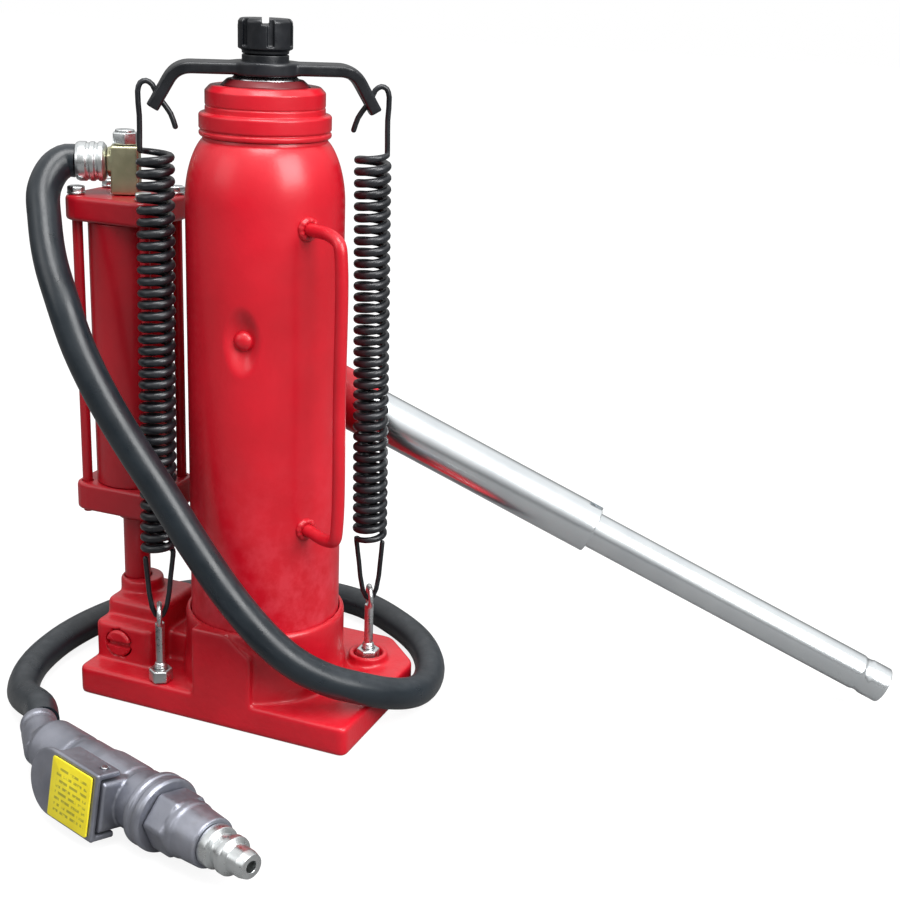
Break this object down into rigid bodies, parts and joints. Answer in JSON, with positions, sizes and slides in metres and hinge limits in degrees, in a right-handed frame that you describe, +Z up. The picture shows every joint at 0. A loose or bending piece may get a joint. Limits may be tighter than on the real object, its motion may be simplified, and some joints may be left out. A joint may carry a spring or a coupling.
{
  "type": "bottle jack",
  "caption": "Air and hand pumped hydraulic bottle jack with return springs, carrying handle, two-piece pump handle, rubber air hose and lever air valve",
  "frame": {"origin": "on the floor, on the bottle's axis, in the base's flat underside", "axes": "+X along the long side of the base away from the air motor, -Y towards the filler plug, +Z up along the ram"},
  "size_m": [0.3902, 0.2729, 0.3072],
  "materials": {
    "red_paint": "glossy red enamel over castings and tube",
    "red_wiper": "dark red satin",
    "black_steel": "black oxide with a light sheen",
    "bright_steel": "ground bright steel",
    "zinc_plate": "bright zinc plate",
    "brass_fitting": "dull olive brass",
    "cast_zinc": "satin die-cast metal",
    "hose_rubber": "dark blue-grey satin rubber",
    "seal_rubber": "black seal rubber",
    "yellow_plate": "matt yellow plate"
  },
  "bodies": {
    "jack_body": {"base_casting": "red_paint", "bottle": "red_paint", "pressure_cylinder": "bright_steel", "top_nut": "red_paint", "gland_ring": "red_wiper", "left_spring": "black_steel", "right_spring": "black_steel", "left_eye_bolt": "zinc_plate", "right_eye_bolt": "zinc_plate", "left_eye_nut": "zinc_plate", "right_eye_nut": "zinc_plate", "carry_handle": "red_paint", "filler_plug": "red_paint", "pump_cylinder": "red_paint", "fulcrum_post": "red_paint", "fulcrum_pin": "bright_steel", "motor_base": "red_paint", "motor_barrel": "red_paint", "motor_cap": "red_paint", "tie_rod_1": "red_paint", "tie_rod_2": "red_paint", "tie_rod_3": "red_paint", "tie_rod_4": "red_paint", "air_column": "red_paint", "air_return_spring": "bright_steel", "elbow_fitting": "brass_fitting", "swivel_cap": "zinc_plate", "hose_ferrule": "zinc_plate", "air_hose": "hose_rubber", "valve_body": "cast_zinc", "lever_pin": "bright_steel", "valve_collar": "cast_zinc", "hex_adaptor": "cast_zinc", "coupler_nipple": "zinc_plate"},
    "ram": {"ram": "bright_steel", "ram_piston": "bright_steel", "ram_seal": "seal_rubber", "crossbar": "black_steel"},
    "screw": {"extension_screw": "black_steel"},
    "saddle": {"saddle": "black_steel"},
    "socket": {"handle_socket": "red_paint", "plunger_pin": "bright_steel"},
    "handle_tube": {"handle_tube": "zinc_plate"},
    "handle_extension": {"handle_extension": "zinc_plate"},
    "plunger": {"pump_plunger": "bright_steel", "pump_seal": "seal_rubber"},
    "release_valve": {"release_valve": "red_paint"},
    "air_piston": {"air_piston": "bright_steel", "air_piston_seal": "seal_rubber"},
    "valve_lever": {"valve_lever": "cast_zinc", "label_plate": "yellow_plate"},
    "valve_stem": {"valve_stem": "brass_fitting"}
  },
  "joints": [
    {"name": "ram_lift", "type": "slide", "parent": "jack_body", "child": "ram", "axis": [0, 0, 1], "range_m": [0, 0.15], "deforming": ["left_spring", "right_spring"]},
    {"name": "screw_extend", "type": "slide", "parent": "ram", "child": "screw", "axis": [0, 0, 1], "range_m": [0, 0.06]},
    {"name": "saddle_turn", "type": "hinge", "parent": "screw", "child": "saddle", "pos_m": [0, 0, 0.3], "axis": [0, 0, 1], "range_deg": [0, 4320]},
    {"name": "handle_lift", "type": "hinge", "parent": "jack_body", "child": "socket", "pos_m": [-0.04115, 0.04124, 0.1338], "axis": [0.225, -0.9744, 0], "range_deg": [0, 60]},
    {"name": "pump_stroke", "type": "slide", "parent": "jack_body", "child": "plunger", "axis": [0, 0, 1], "range_m": [0, 0.0245]},
    {"name": "handle_pull", "type": "slide", "parent": "socket", "child": "handle_tube", "axis": [0.8866, 0.2047, -0.4147], "range_m": [0, 0.045]},
    {"name": "extension_pull", "type": "slide", "parent": "handle_tube", "child": "handle_extension", "axis": [0.8866, 0.2047, -0.4147], "range_m": [0, 0.03]},
    {"name": "release_turn", "type": "hinge", "parent": "jack_body", "child": "release_valve", "pos_m": [-0.0635, -0.02, 0.0235], "axis": [0, -1, 0], "range_deg": [0, 360]},
    {"name": "air_stroke", "type": "slide", "parent": "jack_body", "child": "air_piston", "axis": [0, 0, -1], "range_m": [0, 0.04], "stiffness_N_per_m": 100, "springref_m": -0.02, "deforming": ["air_return_spring"]},
    {"name": "lever_press", "type": "hinge", "parent": "jack_body", "child": "valve_lever", "pos_m": [0.00237, -0.13493, 0.01793], "axis": [-0.0608, -0.1627, -0.9848], "range_deg": [0, 4], "stiffness_Nm_per_rad": 0.5, "springref_deg": -2.86},
    {"name": "stem_press", "type": "slide", "parent": "jack_body", "child": "valve_stem", "axis": [0.3449, 0.9224, -0.1736], "range_m": [0, 0.0016]}
  ],
  "couplings": [
    {"joint": "pump_stroke", "follows": "handle_lift", "m_per_rad": 0.02281},
    {"joint": "saddle_turn", "follows": "screw_extend", "rad_per_m": 1256.6},
    {"joint": "stem_press", "follows": "lever_press", "m_per_rad": 0.0215}
  ]
}
